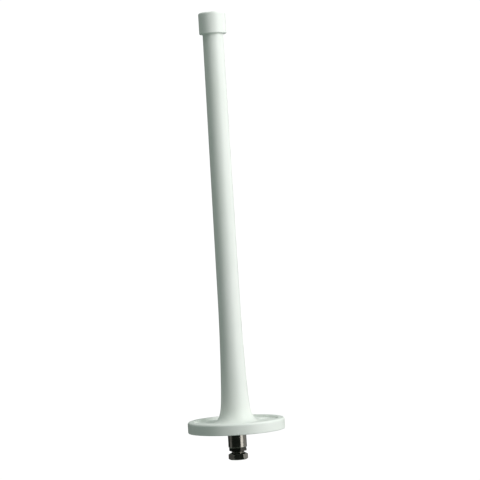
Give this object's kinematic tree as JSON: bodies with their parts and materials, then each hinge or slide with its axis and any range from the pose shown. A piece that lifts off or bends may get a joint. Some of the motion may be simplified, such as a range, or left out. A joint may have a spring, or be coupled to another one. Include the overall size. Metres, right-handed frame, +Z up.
{
  "type": "omnidirectional antenna",
  "caption": "Slim tapered white antenna mast on a round screw-down deck flange, with a coaxial cable plug hanging under it; radiates evenly all round.",
  "frame": {"origin": "centre of the flange's underside, which lies on the deck, on the mast's axis", "axes": "+Z up along the mast from the deck; -Y from the axis to the front screw hole; +X to the right as seen from that hole"},
  "size_m": [0.1, 0.1, 0.46],
  "materials": {
    "asa": "satin",
    "nickel": "polished",
    "dark_nickel": "satin",
    "plate": "satin",
    "steel": "satin",
    "gold": "polished",
    "copper": "satin",
    "brass": "satin",
    "ptfe": "satin",
    "foam": "matte",
    "black_rubber": "matte",
    "grey_rubber": "matte",
    "silicone": "matte"
  },
  "bodies": {
    "antenna": {"radome": "asa", "end_cap": "asa", "cap_seal": "black_rubber", "top_cushion": "foam", "line_core": "copper", "line_dielectric": "ptfe", "tip_short": "brass", "choke_sleeve": "brass", "choke_spacer": "ptfe", "base_plate": "plate", "plate_gasket": "grey_rubber", "deck_gasket": "black_rubber", "plate_screws": "steel", "jack_screws": "steel", "jack_nuts": "steel", "jack_gasket": "grey_rubber", "jack_body": "nickel", "jack_insulator": "ptfe", "jack_contact": "gold", "line_shield_1": "copper", "line_shield_2": "copper", "line_shield_3": "copper", "line_shield_4": "copper", "line_shield_5": "copper", "dipole_sleeve_1": "brass", "sleeve_spacer_1": "ptfe", "dipole_sleeve_2": "brass", "sleeve_spacer_2": "ptfe", "dipole_sleeve_3": "brass", "sleeve_spacer_3": "ptfe", "dipole_sleeve_4": "brass", "sleeve_spacer_4": "ptfe", "dipole_sleeve_5": "brass", "sleeve_spacer_5": "ptfe", "dipole_sleeve_6": "brass", "sleeve_spacer_6": "ptfe", "dipole_sleeve_7": "brass", "sleeve_spacer_7": "ptfe", "dipole_sleeve_8": "brass", "sleeve_spacer_8": "ptfe", "centring_disc_1": "foam", "centring_disc_2": "foam", "centring_disc_3": "foam"},
    "plug": {"plug_body": "dark_nickel", "plug_face_seal": "silicone", "retaining_ring": "steel", "plug_insulator": "ptfe", "plug_pin": "gold", "braid_clamp": "nickel", "cable_seal": "black_rubber"},
    "coupling_nut": {"coupling_nut": "nickel"},
    "thrust_washer": {"thrust_washer": "nickel"},
    "clamp_nut": {"clamp_nut": "nickel"}
  },
  "joints": [
    {"name": "plug_withdraw", "type": "slide", "parent": "antenna", "child": "plug", "axis": [0, 0, -1], "range_m": [0, 0.00953]},
    {"name": "coupling_nut_spin", "type": "hinge", "parent": "plug", "child": "coupling_nut", "pos_m": [0, 0, 0], "axis": [0, 0, -1], "range_deg": [0, 3240]},
    {"name": "washer_slide", "type": "slide", "parent": "plug", "child": "thrust_washer", "axis": [0, 0, -1], "range_m": [0, 0.0045]},
    {"name": "clamp_nut_spin", "type": "hinge", "parent": "thrust_washer", "child": "clamp_nut", "pos_m": [0, 0, 0], "axis": [0, 0, -1], "range_deg": [0, 2160]}
  ],
  "couplings": [
    {"joint": "plug_withdraw", "follows": "coupling_nut_spin", "m_per_rad": 0.00016843},
    {"joint": "washer_slide", "follows": "clamp_nut_spin", "m_per_rad": 0.00011937}
  ]
}
